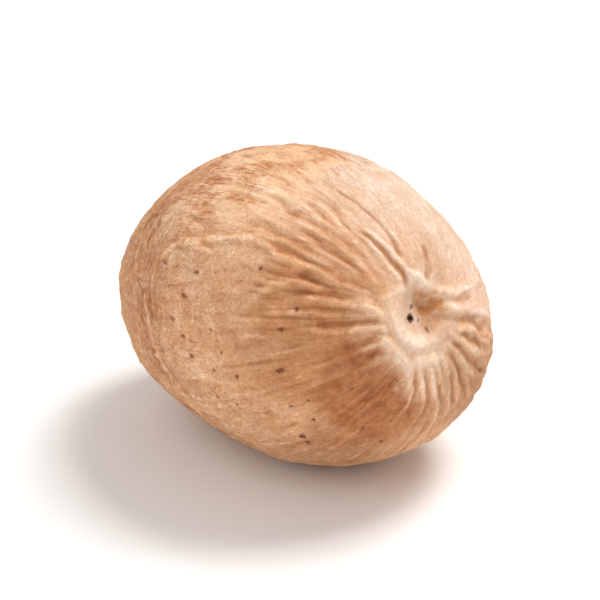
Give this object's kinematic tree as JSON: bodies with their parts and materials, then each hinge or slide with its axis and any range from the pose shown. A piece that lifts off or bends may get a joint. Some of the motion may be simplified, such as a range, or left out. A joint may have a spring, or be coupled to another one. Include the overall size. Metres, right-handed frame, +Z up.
{
  "type": "whole nutmeg",
  "caption": "Whole dried nutmeg kernel, egg-shaped, lying on its side with the sunken eye raised and puckered ridges fanning out from it.",
  "frame": {"origin": "middle of the underside of the bounding box, on the surface that the nutmeg rests on", "axes": "+Z up, +X along the longest extent, towards the raised end that carries the eye"},
  "size_m": [0.0254, 0.02, 0.0198],
  "materials": {
    "nutmeg_skin": "matt dry kernel, pale cream crests over tan and brown grooves"
  },
  "bodies": {
    "root": {"nutmeg": "nutmeg_skin"}
  },
  "joints": []
}
